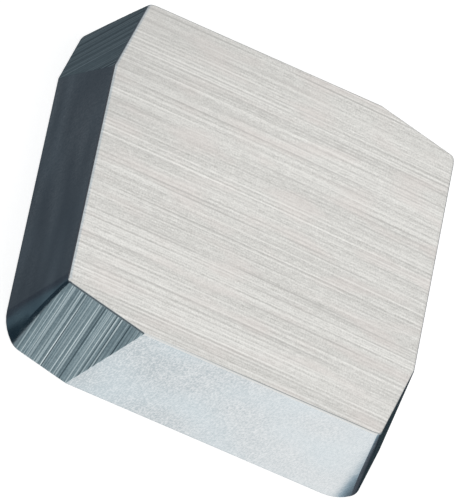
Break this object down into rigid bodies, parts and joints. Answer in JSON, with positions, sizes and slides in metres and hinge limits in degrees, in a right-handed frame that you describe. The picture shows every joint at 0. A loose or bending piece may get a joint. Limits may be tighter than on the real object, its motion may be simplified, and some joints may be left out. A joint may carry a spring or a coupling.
{
  "type": "carbide milling insert",
  "caption": "Right-hand square indexable insert for face milling, with drafted flanks, round corners and a ground wiper facet beside each corner.",
  "frame": {"origin": "centre of the larger face, inside the cutting edge, on the plane that the part lies on", "axes": "+Z through the thickness to the smaller seat face; X and Y square to the four main flanks"},
  "size_m": [0.0126, 0.0126, 0.0032],
  "materials": {
    "cemented_carbide": "ground seat face and facets with fine parallel lines, satin as-sintered flanks"
  },
  "bodies": {
    "root": {"carbide_insert": "cemented_carbide"}
  },
  "joints": []
}
